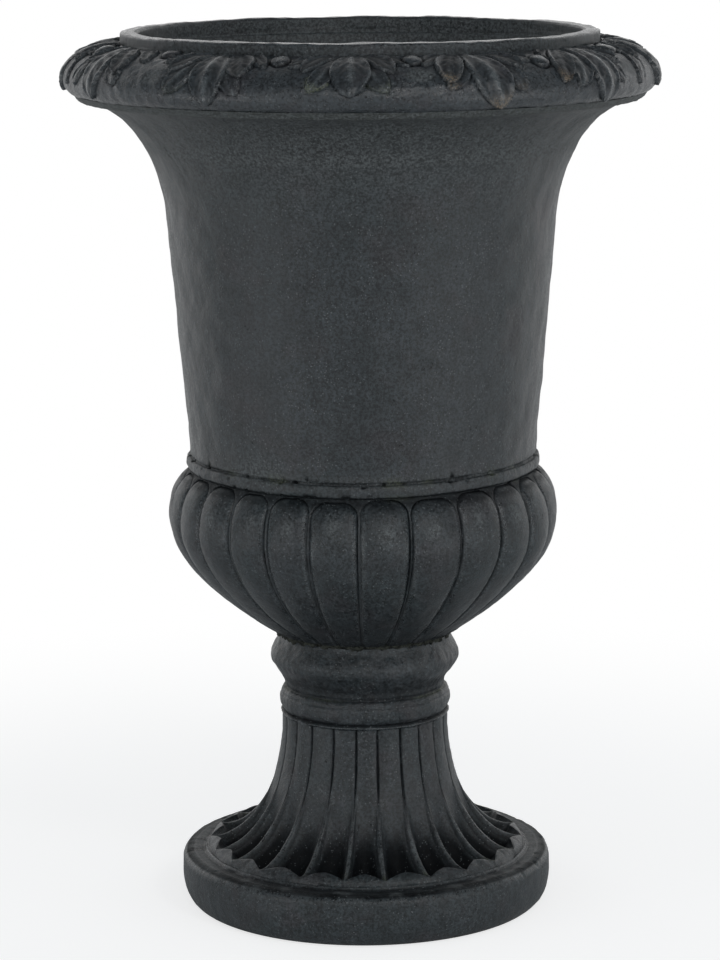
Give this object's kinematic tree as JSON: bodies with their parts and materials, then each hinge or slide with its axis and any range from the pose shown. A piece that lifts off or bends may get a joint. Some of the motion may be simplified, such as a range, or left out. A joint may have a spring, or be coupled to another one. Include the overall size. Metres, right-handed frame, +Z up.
{
  "type": "pedestal urn planter",
  "caption": "Campana urn planter in dark cast cement, with a leafed rolled rim, gadrooned bowl, fluted foot and round plinth.",
  "frame": {"origin": "centre of the plinth's underside, on the ground", "axes": "+Z up along the urn's axis; -Y is the front, where the middle of a leaf group and of a flute lie; +X to the right"},
  "size_m": [0.498, 0.504, 0.75],
  "materials": {
    "patinated_cement": "dark charcoal patina, satin, mottled",
    "rim_cement": "dark charcoal patina, smoother and glossier on the leaves",
    "mortar": "rough, dark, crumbly",
    "zinc_steel": "zinc plated, dull",
    "black_rubber": "matt"
  },
  "bodies": {
    "root": {"bowl_shell": "patinated_cement", "rim_ring": "rim_cement", "rim_bond": "mortar", "pedestal_shell": "patinated_cement", "neck_mortar": "mortar", "drain_tube": "zinc_steel", "floor_seal": "black_rubber", "floor_washer": "zinc_steel", "floor_nut": "zinc_steel", "foot_washer": "zinc_steel", "foot_nut": "zinc_steel"}
  },
  "joints": []
}
